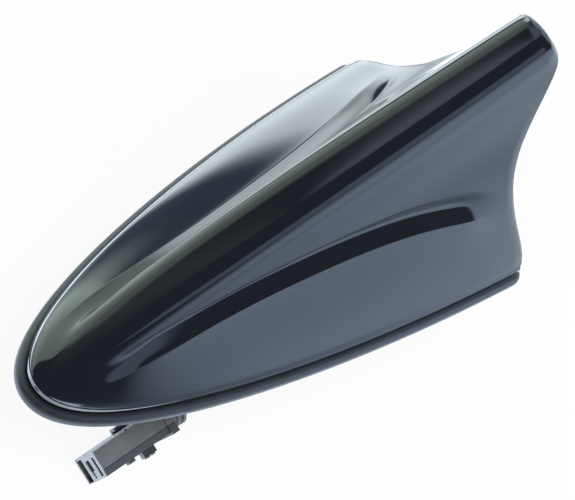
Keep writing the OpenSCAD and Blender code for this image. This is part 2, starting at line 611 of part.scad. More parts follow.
boot_wall = 0.9;
boot_rib = 0.5;
module lead_boot() color("#3b3d41") at_plug() translate([plug_l, 0, 0]) difference() {
    union() {
        rotate([0, 90, 0]) cylinder(boot_l, r = lead_r + lead_gap + boot_wall, $fn = 32);
        for (k = [0:2]) translate([boot_rib + k*boot_l/3, 0, 0]) rotate([0, 90, 0])
            cylinder(boot_l/6, r = lead_r + lead_gap + boot_wall + boot_rib, $fn = 32);
    }
    translate([boot_l - boot_grip, 0, 0]) rotate([0, 90, 0])
        cylinder(boot_l + overrun, r = lead_r + lead_gap, $fn = 32);
}

// Plug housing with its openings, sloped rail, side latch and arm. The openings are placed
// from the far and the lower edge of its face.
hole_deep = 12;
hole1_in = 0.6;
hole1_w = plug_w - hole1_in - plug_wall/3;
hole1_up = plug_wall/3;
hole1_h = 2.6;
hole2_in = 1.6;
hole2_w = 3.16;
hole2_up = 4.15;
hole2_h = 1.95;
hole2_slit_w = 2.04;
hole2_slit_up = 4.5;
hole2_slit_h = 0.85;
hole3_in = 1.4;
hole3_w = 5.5;
hole3_up = 7.6;
hole3_h = 1.2;
edge_cut = 0.7;
rail_w = 1.9;
rail_drop = 0.3;
notch_x = 11.6;
notch_l = 1;
notch_w = 0.6;
arm_x = 12.9;
arm_l = 6.2;
arm_out = 1.35;
arm_up = 1;
arm_h = 2.5;
arm_web = 0.5;
arm_gap = 0.55;
bump_x = 8.1;
bump_l = 2.1;
bump_out = 0.85;
bump_h = 1.6;
bump_down = 0.6;
rear_l = 2.4;
module hole(in, up, w, h, deep) translate([-overrun, plug_w/2 - in - w, up - plug_h/2])
    cube([deep + overrun, w, h]);
module plug_housing() color("#66696d") at_plug() difference() {
    union() {
        rotate([90, 0, 90]) linear_extrude(plug_l)
            polygon([[-plug_w/2, -plug_h/2], [plug_w/2, -plug_h/2], [plug_w/2, plug_h/2],
                [rail_w - plug_w/2, plug_h/2], [-plug_w/2, plug_h/2 - rail_drop]]);
        translate([plug_l - rear_l, -plug_w/2 - edge_cut, -plug_h/2 - edge_cut])
            cube([rear_l, plug_w + 2*edge_cut, plug_h + 2*edge_cut]);
        translate([arm_x, plug_w/2 - arm_out, arm_up - plug_h/2]) cube([arm_l, 2*arm_out, arm_h]);
        translate([bump_x, -plug_w/2 - bump_out, plug_h/2 - bump_down - bump_h])
            cube([bump_l, 2*bump_out, bump_h]);
    }
    hole(hole1_in, hole1_up, hole1_w, hole1_h, hole_deep);
    hole(hole2_in, hole2_up, hole2_w, hole2_h, hole_deep);
    hole(hole2_in + hole2_w - seat_gap, hole2_slit_up, hole2_slit_w + seat_gap, hole2_slit_h, hole_deep);
    hole(hole3_in, hole3_up, hole3_w, hole3_h, hole_deep);
    translate([arm_x - overrun, plug_w/2, arm_up + arm_web - plug_h/2])
        cube([arm_l + 2*overrun, arm_gap, arm_h]);
    translate([notch_x, plug_w/2 - notch_w, -plug_h/2 - overrun])
        cube([notch_l, notch_w + overrun, plug_h + 2*overrun]);
    translate([latch_x - seat_gap, -plug_w/2 - overrun, latch_up - latch_h/2 - seat_gap])
        cube([latch_l + 2*seat_gap, overrun + latch_in, latch_h + 2*seat_gap]);
}

latch_x = 13.8;
latch_l = 4.3;
latch_h = 1.8;
latch_up = 1.8;
latch_in = 0.8;
latch_out = 1.9;
grip_h = 0.4;
grip_in = 0.3;
grip_shares = [0.15, 0.6];
grip_share = 0.25;
module plug_latch() color("#5a5d61") at_plug() {
    translate([latch_x, -plug_w/2 - latch_out, latch_up - latch_h/2]) cube([latch_l, latch_out + latch_in, latch_h]);
    for (k = grip_shares) translate([latch_x + latch_l*k, -plug_w/2 - latch_out - grip_h, latch_up - latch_h/2 + grip_in])
        cube([latch_l*grip_share, grip_h, latch_h - 2*grip_in]);
}

contact_r = 0.5;
contact_back = 2.5;
contact_l = hole_deep - contact_back;
module plug_contacts() color("#c9b36a") at_plug() {
    for (k = [1, 3]) translate([hole_deep - contact_l, plug_w/2 - hole1_in - k*hole1_w/4,
        hole1_up + (hole1_h - plug_h)/2]) rotate([0, 90, 0]) cylinder(contact_l, r = contact_r, $fn = 24);
    translate([hole_deep - contact_l, plug_w/2 - hole2_in - hole2_w/2, hole2_up + (hole2_h - plug_h)/2])
        rotate([0, 90, 0]) cylinder(contact_l, r = contact_r, $fn = 24);
}

fin_cover();
roof_gasket();
base_plate();
neck_seal();
fixing_bolt();
claw_clip();
main_board();
board_screws();
board_chips();
shield_can();
sat_patch();
sat_electrode();
sat_pin();
locator_patch();
locator_electrode();
locator_pin();
blade_board();
blade_trace();
blade_holder();
loading_coil();
coil_foot();
lead_socket();
lead_gland();
lead();
lead_boot();
plug_housing();
plug_latch();
plug_contacts();
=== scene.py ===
"""Fin antenna for a car roof: the looks of each piece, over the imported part.

+X points to the rear of the car, +Y to its right side, and z = 0 is the roof skin. The
antenna's sizes are in millimetres, which mm turns into metres. The camera's distance, the
lamp's size and place and the floor's size are in metres.
"""

import math

import bpy
from mathutils import Matrix, Vector


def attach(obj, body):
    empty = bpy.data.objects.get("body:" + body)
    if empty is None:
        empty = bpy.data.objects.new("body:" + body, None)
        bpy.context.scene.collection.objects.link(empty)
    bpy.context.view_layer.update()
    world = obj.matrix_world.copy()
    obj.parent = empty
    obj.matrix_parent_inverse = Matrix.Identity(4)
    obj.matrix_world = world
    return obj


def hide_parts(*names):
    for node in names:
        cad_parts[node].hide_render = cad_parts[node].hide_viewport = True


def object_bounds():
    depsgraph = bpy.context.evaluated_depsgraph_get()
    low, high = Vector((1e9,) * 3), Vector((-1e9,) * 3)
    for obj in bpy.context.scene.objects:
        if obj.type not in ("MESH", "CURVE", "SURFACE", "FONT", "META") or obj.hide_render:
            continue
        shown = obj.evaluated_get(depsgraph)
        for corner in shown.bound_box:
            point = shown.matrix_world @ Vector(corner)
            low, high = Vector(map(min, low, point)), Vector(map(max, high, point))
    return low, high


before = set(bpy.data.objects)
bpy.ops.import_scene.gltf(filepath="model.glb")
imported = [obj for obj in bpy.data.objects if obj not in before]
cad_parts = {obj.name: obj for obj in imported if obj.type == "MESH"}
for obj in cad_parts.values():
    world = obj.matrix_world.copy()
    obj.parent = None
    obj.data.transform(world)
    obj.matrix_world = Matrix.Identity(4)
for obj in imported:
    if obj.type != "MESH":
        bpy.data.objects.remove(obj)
cad_box = [list(corner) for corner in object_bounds()]
mm = 0.001


# The camera. It looks down on the antenna from 1.2 m away, ahead of the nose and a little to
# the car's left, and is rolled so that the fin runs from the lower left to the upper right.
view_turn = math.radians(-74.875)
view_rise = math.radians(46.046)
view_roll = math.radians(40.197)
view_target = Vector((17.122 * mm, 0.997 * mm, 0))
view_far, view_near = 1.2, 0.05
view_lens, film_width = 280.9, 36

view_back = Vector((math.sin(view_turn) * math.cos(view_rise),
                    -math.cos(view_turn) * math.cos(view_rise), math.sin(view_rise)))
view_side = Vector((math.cos(view_turn), math.sin(view_turn), 0))
view_up = view_back.cross(view_side)
picture_right = math.cos(view_roll) * view_side + math.sin(view_roll) * view_up
picture_up = math.cos(view_roll) * view_up - math.sin(view_roll) * view_side
view_place = view_target + view_far * view_back
bpy.ops.object.camera_add(location=view_place)
camera = bpy.context.object
camera.name = "photo_camera"
camera.matrix_world = Matrix.Translation(view_place) @ Matrix(
    (picture_right, picture_up, view_back)).transposed().to_4x4()
camera.data.lens = view_lens
camera.data.sensor_width = film_width
camera.data.clip_start = view_near
bpy.context.scene.camera = camera


# The lead: a taped coaxial lead, 4.4 mm thick. It comes down from its socket under the board
# through the duct in the neck, turns under the gasket, climbs a little, and runs level into
# the plug's boot. Its turns all have one radius, and lie on the wall of one upright drum.
lead_r, jacket_steps = 2.2, 8
duct_x = -4.9
board_z, socket_lid = 9.0, 0.6
neck_l, gland_t, gland_lip = 7.0, 2.0, 1.2
plug_l, boot_l, boot_grip = 25.5, 6.0, 4.0
bend_r, lead_run = 11.0, 5.0
turn_n, climb_n, level_n = 16, 3, 8
plug_face = Vector((-68, -19.5, -18))
plug_yaw, plug_dip, plug_roll = 1.6, -9.4, 14.5
plug_turn = (Matrix.Rotation(math.radians(plug_yaw), 4, "Z")
             @ Matrix.Rotation(math.radians(plug_dip), 4, "Y")
             @ Matrix.Rotation(math.radians(plug_roll), 4, "X"))


def at_plug(x):
    """A place on the plug's long axis, as a point of the car's frame, both in millimetres."""
    return plug_turn @ Vector((x, 0, 0)) + plug_face


lead_start = Vector((duct_x, 0, board_z - socket_lid))
lead_exit = Vector((duct_x, 0, -neck_l - gland_t - gland_lip))
lead_meet = at_plug(plug_l + boot_l + lead_run)
lead_end = at_plug(plug_l + boot_l - boot_grip)
lead_axis = (lead_meet - lead_end).normalized()
lead_span = lead_meet - lead_exit
end_heading = math.atan2(-lead_axis.y, -lead_axis.x)
swing = math.atan2(lead_span.y, lead_span.x) - end_heading
half_swing = swing - 2 * math.pi * round(swing / (2 * math.pi))
swing_r = math.hypot(lead_span.x, lead_span.y) / (2 * math.sin(half_swing))
swing_l = 2 * swing_r * half_swing
fall = math.asin(lead_axis.z)
climb_across = swing_l - bend_r * (1 + math.sin(fall))
climb_down = bend_r * math.cos(fall) - lead_span.z
climb = (math.atan2(climb_across, climb_down)
         - math.acos(2 * bend_r / math.hypot(climb_across, climb_down)))
climb_l = climb_across * math.cos(climb) - climb_down * math.sin(climb)


def lead_turn(angle):
    """The first turn, unrolled: how far along the drum and how far below the exit."""
    return Vector((bend_r * (1 - math.cos(angle)), -bend_r * math.sin(angle)))


climb_start = lead_turn(math.pi / 2 + climb)
climb_end = climb_start + climb_l * Vector((math.cos(climb), math.sin(climb)))
lead_profile = [lead_turn((math.pi / 2 + climb) * k / turn_n) for k in range(1, turn_n + 1)]
lead_profile += [climb_start.lerp(climb_end, k / climb_n) for k in range(1, climb_n)]
for k in range(level_n + 1):
    angle = climb - (climb + fall) * k / level_n
    lead_profile.append(climb_end + bend_r * Vector((math.sin(climb) - math.sin(angle),
                                                     math.cos(angle) - math.cos(climb))))
first_heading = end_heading + 2 * half_swing
drum = lead_exit + swing_r * Vector((math.sin(first_heading), -math.cos(first_heading), 0))
lead_line = [lead_start, lead_exit]
for run, drop in lead_profile:
    angle = first_heading + math.pi / 2 - run / swing_r
    lead_line.append(drum + Vector((swing_r * math.cos(angle), swing_r * math.sin(angle), drop)))
lead_line = [point * mm for point in lead_line + [lead_end]]

lead_curve = bpy.data.curves.new("lead_line", "CURVE")
lead_curve.dimensions = "3D"
lead_curve.bevel_depth = lead_r * mm
lead_curve.bevel_resolution = jacket_steps
lead_curve.use_fill_caps = True
spline = lead_curve.splines.new("POLY")
spline.points.add(len(lead_line) - 1)
for at, point in zip(spline.points, lead_line):
    at.co = (*point, 1)
lead = bpy.data.objects.new("taped_lead", lead_curve)
bpy.context.scene.collection.objects.link(lead)


def new_material(name, colour, roughness, metallic=0.0):
    """A material whose Principled shader has its even values set, with its nodes at hand."""
    material = bpy.data.materials.new(name)
    material.use_nodes = True
    shader = material.node_tree.nodes["Principled BSDF"]
    shader.inputs["Base Color"].default_value = (*colour, 1)
    shader.inputs["Roughness"].default_value = roughness
    shader.inputs["Metallic"].default_value = metallic
    return material, shader


def add_node(material, kind, **values):
    """A node of that kind in the material, with its sockets set by name."""
    node = material.node_tree.nodes.new(kind)
    for name, value in values.items():
        node.inputs[name.replace("_", " ")].default_value = value
    return node


def join(material, out_node, out_socket, in_node, in_socket):
    material.node_tree.links.new(out_node.outputs[out_socket], in_node.inputs[in_socket])


def grain(material, shader, size, height, low, high, colours):
    """Fine grain: roughness from low to high, a bump of that height, and a shift in colour."""
    place = add_node(material, "ShaderNodeTexCoord")
    noise = add_node(material, "ShaderNodeTexNoise", Scale=1 / size, Detail=4.0, Roughness=0.55)
    join(material, place, "Object", noise, "Vector")
    spread = add_node(material, "ShaderNodeMapRange", To_Min=low, To_Max=high)
    join(material, noise, "Fac", spread, "Value")
    join(material, spread, "Result", shader, "Roughness")
    bump = add_node(material, "ShaderNodeBump", Strength=0.6, Distance=height)
    join(material, noise, "Fac", bump, "Height")
    join(material, bump, "Normal", shader, "Normal")
    broad = add_node(material, "ShaderNodeTexNoise", Scale=0.12 / size, Detail=3.0)
    join(material, place, "Object", broad, "Vector")
    ramp = add_node(material, "ShaderNodeValToRGB")
    for stop, position, colour in zip(ramp.color_ramp.elements, (0.3, 0.7), colours):
        stop.position = position
        stop.color = (*colour, 1)
    join(material, broad, "Fac", ramp, "Fac")
    join(material, ramp, "Color", shader, "Base Color")


tape, tape_shader = new_material("lead tape", (0.03, 0.032, 0.035), 0.7)
grain(tape, tape_shader, 0.9 * mm, 0.06 * mm, 0.55, 0.8,
      ((0.022, 0.023, 0.026), (0.05, 0.052, 0.056)))
lead_curve.materials.append(tape)
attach(lead, "root")
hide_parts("lead")


# The stage: a white floor just under the part, a white world, and a broad soft lamp above.
# The floor keeps a faint shadow. The gloss shows neither floor nor lamp, only the room.
floor_gap = 0.5
floor_size, paper_share = 8, 0.92
bpy.ops.object.select_all(action="DESELECT")
bpy.ops.mesh.primitive_plane_add(size=floor_size, location=(0, 0, cad_box[0][2] - floor_gap * mm))
floor = bpy.context.object
floor.name = "studio_floor"
paper, paper_shader = new_material("white paper", (0.86, 0.86, 0.87), 0.9)
tree = paper.node_tree
light_path = tree.nodes.new("ShaderNodeLightPath")
white_paper = tree.nodes.new("ShaderNodeEmission")
white_paper.inputs["Color"].default_value = (1, 1, 1, 1)
white_paper.inputs["Strength"].default_value = 1.0
shown = tree.nodes.new("ShaderNodeMixShader")
shown.inputs["Fac"].default_value = paper_share
tree.links.new(paper_shader.outputs[0], shown.inputs[1])
tree.links.new(white_paper.outputs[0], shown.inputs[2])
by_camera = tree.nodes.new("ShaderNodeMixShader")
tree.links.new(light_path.outputs["Is Camera Ray"], by_camera.inputs["Fac"])
tree.links.new(paper_shader.outputs[0], by_camera.inputs[1])
tree.links.new(shown.outputs[0], by_camera.inputs[2])
tree.links.new(by_camera.outputs[0], tree.nodes["Material Output"].inputs["Surface"])
floor.data.materials.append(paper)
floor.visible_glossy = False

# The room that the gloss shows: dim and blue, with white paper below, soft lights low down
# behind and on both sides, a panel on the near side, a greenish far wall and a dark ceiling.
world = bpy.data.worlds.new("studio")
bpy.context.scene.world = world
world.use_nodes = True
sky = world.node_tree
ambient = sky.nodes["Background"]
ambient.inputs["Color"].default_value = (0.95, 0.97, 1, 1)
ambient.inputs["Strength"].default_value = 0.55
white = sky.nodes.new("ShaderNodeBackground")
white.inputs["Color"].default_value = (1, 1, 1, 1)


def sky_math(operation, *values):
    """The result of a math node in the world, fed by other nodes' results."""
    node = sky.nodes.new("ShaderNodeMath")
    node.operation = operation
    for socket, value in zip(node.inputs, values):
        sky.links.new(value, socket)
    return node.outputs[0]


def sky_edge(angle, middle, width, rising):
    """A soft edge of a light, which goes from 0 to 1 there if it is rising, else from 1 to 0."""
    edge = sky.nodes.new("ShaderNodeMapRange")
    edge.interpolation_type = "SMOOTHSTEP"
    sky.links.new(angle, edge.inputs["Value"])
    edge.inputs["From Min"].default_value = middle - width / 2
    edge.inputs["From Max"].default_value = middle + width / 2
    edge.inputs["To Min"].default_value = 0 if rising else 1
    edge.inputs["To Max"].default_value = 1 if rising else 0
    return edge.outputs[0]


def sky_light(before, name, turn, side_edge, rise, low_edge, high_edge, colour, strength):
    """A soft light on the room's wall, from one heading and rise to another, in degrees."""
    mask = sky_math("MULTIPLY", sky_edge(heading, turn[0], side_edge, True),
                    sky_edge(heading, turn[1], side_edge, False))
    mask = sky_math("MULTIPLY", mask, sky_edge(height, rise[0], low_edge, True))
    mask = sky_math("MULTIPLY", mask, sky_edge(height, rise[1], high_edge, False))
    light = sky.nodes.new("ShaderNodeMix")
    light.label = name
    light.data_type = "RGBA"
    light.clamp_factor = True
    sky.links.new(mask, light.inputs["Factor"])
    sky.links.new(before, light.inputs[6])
    light.inputs[7].default_value = (*(strength * c for c in colour), 1)
    return light.outputs[2]


direction = sky.nodes.new("ShaderNodeTexCoord")
split = sky.nodes.new("ShaderNodeSeparateXYZ")
sky.links.new(direction.outputs["Generated"], split.inputs["Vector"])
heading = sky_math("DEGREES", sky_math("ARCTAN2", split.outputs["Y"], split.outputs["X"]))
height = sky_math("DEGREES", sky_math("ARCSINE", split.outputs["Z"]))
dim = sky.nodes.new("ShaderNodeRGB")
dim.outputs[0].default_value = (0.20, 0.26, 0.36, 1)
blue, cool, pale, green = (0.78, 1.0, 1.3), (0.85, 1.0, 1.2), (0.93, 1.05, 1.1), (0.84, 1.02, 0.96)
seen = dim.outputs[0]
for light in (
        ("front wall", (100, 155), 50, (20, 95), 30, 10, cool, 0.5),
        ("near floor", (-130, 20), 20, (-95, -30), 1, 20, blue, 0.45),
        ("far floor", (20, 130), 30, (-95, -26), 1, 12, pale, 0.9),
        ("paper below", (-200, 200), 10, (-95, -41), 1, 4, cool, 6),
        ("paper behind", (-90, 90), 50, (-95, -41), 1, 4, cool, 3),
        ("far ceiling", (10, 66), 30, (56, 86), 16, 6, cool, 1.3),
        ("far wall", (56, 130), 20, (28, 56), 10, 12, green, 1.5),
        ("near low light", (-72, -30), 24, (-20, 21), 50, 4, blue, 2.3),
        ("rear low light", (-46, 30), 14, (-20, 17), 44, 5, cool, 2.8),
        ("rear panel", (-20, 40), 14, (20, 50), 6, 20, cool, 1.9),
        ("near panel", (-104, -66), 8, (24, 50), 4, 6, blue, 1.2),
        ("nose near light", (-200, -95), 10, (-95, -34), 4, 6, cool, 4.5),
        ("nose far light", (120, 200), 10, (-95, -34), 4, 6, cool, 4.5),
        ("far low light", (36, 53), 4, (-30, 24), 16, 6, pale, 2.9),
        ("far bright light", (46, 64), 8, (10, 34), 12, 8, pale, 6.0),
        ("far green light", (60, 120), 6, (-30, 34), 16, 8, green, 2.1)):
    seen = sky_light(seen, *light)
room = sky.nodes.new("ShaderNodeBackground")
sky.links.new(seen, room.inputs["Color"])
path = sky.nodes.new("ShaderNodeLightPath")
in_gloss = sky.nodes.new("ShaderNodeMixShader")
sky.links.new(path.outputs["Is Glossy Ray"], in_gloss.inputs["Fac"])
sky.links.new(ambient.outputs[0], in_gloss.inputs[1])
sky.links.new(room.outputs[0], in_gloss.inputs[2])
in_camera = sky.nodes.new("ShaderNodeMixShader")
sky.links.new(path.outputs["Is Camera Ray"], in_camera.inputs["Fac"])
sky.links.new(in_gloss.outputs[0], in_camera.inputs[1])
sky.links.new(white.outputs[0], in_camera.inputs[2])
sky.links.new(in_camera.outputs[0], sky.nodes["World Output"].inputs["Surface"])

lamp_place, lamp_size, lamp_power = Vector((-0.3, -0.5, 1.1)), 1.2, 12
bpy.ops.object.light_add(type="AREA", location=lamp_place)
lamp = bpy.context.object
lamp.name = "soft_lamp"
lamp.data.shape = "DISK"
lamp.data.size = lamp_size
lamp.data.energy = lamp_power
lamp.visible_glossy = False
lamp.rotation_euler = (-lamp_place).to_track_quat("-Z", "Y").to_euler()
bpy.context.scene.view_settings.view_transform = "Standard"


# The cover: one near-black gloss moulding, bonded to the base along its edge. Its outer skin is
# made here. Its half sections run from the rim to the ridge, and change from a low dome at the
# nose through a shouldered body to the fin, whose rear edge leans back and kicks out.
cover_l, cover_w, fin_h = 163.0, 75.0, 73.5
nose_reach, tail_bulge, tail_r = 85.0, 1.5, 2.0
lip_h, lip_out, skin_wall = 1.2, 0.2, 0.9
cover_z = 4.6
run_l = cover_l - tail_bulge
half_w = cover_w / 2
plan_shares = (1.42, -0.62, 0.62, -0.42)
ridge_shares = (0.684, 0.40, -0.084)
lean_shares = (0, -0.007, -0.024, -0.037, -0.043, -0.043, -0.037, -0.030, -0.025, -0.030, -0.068)
lean_power = 5
side_shares = (
    (1, 0.98, 0.87, 0.72, 0.60, 0.50, 0.42, 0.34, 0.25, 0.14, 0),
    (1, 0.98, 0.85, 0.69, 0.58, 0.50, 0.42, 0.34, 0.25, 0.14, 0),
    (1, 0.97, 0.82, 0.62, 0.49, 0.44, 0.42, 0.38, 0.31, 0.18, 0),
    (1, 0.98, 0.85, 0.64, 0.48, 0.39, 0.35, 0.32, 0.28, 0.17, 0),
    (1, 0.98, 0.87, 0.68, 0.53, 0.42, 0.36, 0.30, 0.25, 0.15, 0),
    (1, 0.98, 0.88, 0.73, 0.60, 0.48, 0.37, 0.27, 0.21, 0.14, 0))
rise_shares = (
    (0, 0.25, 0.52, 0.69, 0.78, 0.85, 0.90, 0.945, 0.975, 0.998, 1.003),
    (0, 0.23, 0.48, 0.64, 0.75, 0.82, 0.88, 0.94, 0.975, 0.998, 1.003),
    (0, 0.12, 0.30, 0.45, 0.56, 0.65, 0.76, 0.87, 0.955, 0.996, 1.004),
    (0, 0.08, 0.21, 0.33, 0.41, 0.49, 0.64, 0.79, 0.945, 0.995, 1.003),
    (0, 0.06, 0.17, 0.28, 0.35, 0.42, 0.56, 0.76, 0.935, 0.995, 1.003),
    (0, 0.04, 0.11, 0.20, 0.31, 0.43, 0.60, 0.79, 0.94, 0.996, 1.004))
ridge_u = 10


def poly(shares, t):
    return sum(c * t ** k for k, c in enumerate(shares))


def plan_width(t):
    """Half the cover's width at t, which runs from 0 at the nose to 1 at the tail."""
    return half_w * t * poly(plan_shares, t)


def ridge_height(t):
    return fin_h * t * poly(ridge_shares, t)


def rim_normal(t):
    """The way out of the rim at t, level, on the side where y is positive."""
    slope = half_w * sum((k + 1) * c * t ** k for k, c in enumerate(plan_shares))
    size = math.hypot(slope, 2 * run_l * t)
    return (-slope / size, 2 * run_l * t / size)


def blend4(a, b, c, d, s):
    """A point of the smooth curve that four guides pull on, a share s of the way from b to c."""
    return ((1 - s) ** 3 * a + (3 * s ** 3 - 6 * s ** 2 + 4) * b
            + (-3 * s ** 3 + 3 * s ** 2 + 3 * s + 1) * c + s ** 3 * d) / 6


def along(values, share):
    """The smooth curve through a row of guides, at a share of its length."""
    last = len(values) - 1
    k = min(max(share, 0), 1) * last
    i = min(int(k), last - 1)
    before = values[i - 1] if i else 2 * values[0] - values[1]
    after = values[i + 2] if i < last - 1 else 2 * values[last] - values[last - 1]
    return blend4(before, values[i], values[i + 1], after, k - i)


def guides(t):
    """The guides of half a section, from the rim to the ridge, as sides and heights in mm."""
    width = plan_width(t) - lip_out * rim_normal(t)[1]
    rise = ridge_height(t) - lip_h
    sides = [along(shares, t) * width for shares in zip(*side_shares)]
    rises = [lip_h + along(shares, t) * rise for shares in zip(*rise_shares)]
    sides = [2 * sides[0] - sides[1]] + sides + [-sides[ridge_u - 1], -sides[ridge_u - 2]]
    rises = [2 * rises[0] - rises[1]] + rises + [rises[ridge_u - 1], rises[ridge_u - 2]]
    return sides, rises


def on_guides(rows, u):
    """A point of a half section, where u counts its guides from 0, the rim, to the ridge."""
    j = min(int(u), ridge_u - 1)
    return Vector([blend4(*row[j:j + 4], u - j) for row in rows])


# Each flank ends in a soft crease. A narrow ledge starts there and turns up into the fin's
# wall. It grows out of the nose, and fades before the tail.
crease_from, crease_to = 0.3, 1.0
crease_rise_shares = (0.52, 0.51, 0.495, 0.465, 0.428, 0.395, 0.338, 0.22)
ledge_out, ledge_w, ledge_slopes, turn_h = 0.6, 4.8, (22, 36), 5.5
ledge_start, ledge_full, ledge_fade, ledge_end = 0.24, 0.4, 0.912, 0.978
ledge_ridge = 26
flat_share, foot_u, look_u = 0.4, 0.7, 0.1
pull_reach, pull_power = 3, 1.5
leave_share, meet_share = 0.4, 0.45
seek_low, seek_high, seek_n = 1.0, 9.5, 30


def ease(share):
    """A soft step from 0 to 1."""
    share = min(max(share, 0), 1)
    return share * share * (3 - 2 * share)


def ledge_share(t):
    """How much of the ledge there is at t."""
    return (ease((t - ledge_start) / (ledge_full - ledge_start))
            * ease((ledge_end - t) / (ledge_end - ledge_fade)))


def at_height(rows, rise):
    """Where along the guides a section reaches a height, found by halving."""
    low, high = seek_low, seek_high
    for _ in range(seek_n):
        middle = (low + high) / 2
        low, high = (middle, high) if on_guides(rows, middle).y < rise else (low, middle)
    return low


def half_section(t, steps):
    """Half a section of the skin, from the rim to the ridge, with a point on the crease."""
    rows = guides(t)
    crease_share = along(crease_rise_shares, (t - crease_from) / (crease_to - crease_from))
    crease_u = at_height(rows, ridge_height(t) * crease_share)
    share = ledge_share(t)
    size = min(1.0, ridge_height(t) / ledge_ridge)
    foot, at_crease = on_guides(rows, foot_u), on_guides(rows, crease_u)
    flank = (at_crease - foot).normalized()
    run = (on_guides(rows, crease_u + look_u) - at_crease).normalized()
    crease = at_crease + ledge_out * size * Vector((run.y, -run.x))
    half_ledge = ledge_w * size / 2
    into, upward = (Vector((-math.cos(math.radians(a)), math.sin(math.radians(a))))
                    for a in ledge_slopes)
    ledge_mid = crease + half_ledge * into
    ledge_top = ledge_mid + half_ledge * upward
    wall_u = at_height(rows, ledge_top.y + turn_h * size)
    wall = on_guides(rows, wall_u)
    up_wall = (on_guides(rows, wall_u + look_u) - wall).normalized()
    reach = (wall - ledge_top).length
    first, second = ledge_top + leave_share * reach * upward, wall - meet_share * reach * up_wall
    points = []
    low_n, ledge_n, curve_n, high_n = 5 * steps, 2 * steps, 2 * steps, 3 * steps
    for k in range(low_n + 1):
        u = crease_u * k / low_n
        point = on_guides(rows, u)
        past_foot = (point - foot).dot(flank)
        if past_foot > 0:
            point = point.lerp(foot + past_foot * flank, share * flat_share)
        pull = max(1 - (crease_u - u) / pull_reach, 0) ** pull_power
        points.append(point + share * pull * (crease - at_crease))
    for k in range(1, ledge_n + curve_n + 1):
        if k <= ledge_n:
            s = k / ledge_n
            point = (1 - s) ** 2 * crease + 2 * s * (1 - s) * ledge_mid + s * s * ledge_top
        else:
            s = (k - ledge_n) / curve_n
            point = ((1 - s) ** 3 * ledge_top + 3 * s * (1 - s) ** 2 * first
                     + 3 * s * s * (1 - s) * second + s ** 3 * wall)
        u = crease_u + (wall_u - crease_u) * k / (ledge_n + curve_n)
        points.append(on_guides(rows, u).lerp(point, share))
    for k in range(1, high_n + 1):
        points.append(on_guides(rows, wall_u + (ridge_u - wall_u) * k / high_n))
    points[-1].x = 0
    return [tuple(point) for point in points]


def skin_point(t, side, rise, inward):
    """A point of the skin, moved inwards along x, and leaning as the fin's rear edge does."""
    lean = cover_l * along(lean_shares, rise / ridge_height(t)) * t ** (2 * lean_power)
    return Vector((-nose_reach + run_l * t * t + inward + lean, side, cover_z + rise))


# The skin is one grid: each line keeps its height step and goes from the nose along the near
# side, round the rear wall, and back along the far side to the nose. The first lines are the
# lip, a small upright wall that is taller round the nose.
ring_n, span_n, edge_n, back_n = 96, 8, 6, 10
nose_t = 1e-4
under_in, under_drop, weld_gap = 0.5, 0.02, 0.002
lip_low, lip_round, nose_lip, nose_lip_t = 0.15, 0.15, 0.5, 0.35
thin_share = 0.8
t_last = math.sqrt(1 - tail_r / run_l)
rows = []
for r in range(ring_n + 1):
    t = max(t_last * r / ring_n, nose_t)
    normal = rim_normal(t)
    width = plan_width(t)
    lip_top = lip_h - lip_round + nose_lip * max(1 - t / nose_lip_t, 0)
    ring = [skin_point(t, -(width - d * normal[1]), rise, -d * normal[0])
            for d, rise in ((under_in, -under_drop), (lip_low, 0.0), (0, lip_low),
                            (0, 2 * lip_low), (0, lip_top))]
    for side, rise in half_section(max(t, t_last / ring_n), span_n):
        ring.append(skin_point(t, -side, max(rise, lip_top + lip_round), -lip_out * normal[0]))
    if r == 0:
        for point in ring:
            point.y = 0
    rows.append(ring)
grid = []
for near in zip(*rows):
    edge = near[-1]
    width = -edge.y
    radius = min(tail_r, thin_share * width)
    bulge = tail_bulge * width / half_w
    back = []
    for k in range(1, edge_n + 1):
        a = math.pi / 2 * k / edge_n
        back.append(Vector((edge.x + radius * math.sin(a), -width + radius * (1 - math.cos(a)),
                            edge.z)))
    for k in range(1, back_n):
        c = 2 * k / back_n - 1
        back.append(Vector((edge.x + radius + bulge * (1 - c * c), (width - radius) * c, edge.z)))
    half = list(near) + back[:edge_n]
    grid.append(half + back[edge_n:] + [Vector((p.x, -p.y, p.z)) for p in half[::-1]])


def lofted(name, lines, closed=False):
    """A skin over lines that all have the same number of points, in millimetres."""
    bpy.ops.object.select_all(action="DESELECT")
    bpy.ops.mesh.primitive_grid_add(x_subdivisions=len(lines[0]) - 1,
                                    y_subdivisions=len(lines) - 1, size=1)
    skin = bpy.context.object
    skin.name = name
    for vertex, point in zip(skin.data.vertices, [p for line in lines for p in line]):
        vertex.co = point * mm
    bpy.ops.object.mode_set(mode="EDIT")
    bpy.ops.mesh.select_all(action="SELECT")
    bpy.ops.mesh.remove_doubles(threshold=weld_gap * mm)
    if closed:
        bpy.ops.mesh.fill_holes(sides=0)
    bpy.ops.mesh.normals_make_consistent(inside=False)
    bpy.ops.object.mode_set(mode="OBJECT")
    return skin


skin_smooth = math.radians(50)
shell = lofted("gloss_shell", grid)
thicken = shell.modifiers.new("wall", "SOLIDIFY")
thicken.thickness = skin_wall * mm
thicken.offset = -1
thicken.use_rim = True
bpy.ops.object.modifier_apply(modifier="wall")
bpy.ops.object.shade_smooth_by_angle(angle=skin_smooth)

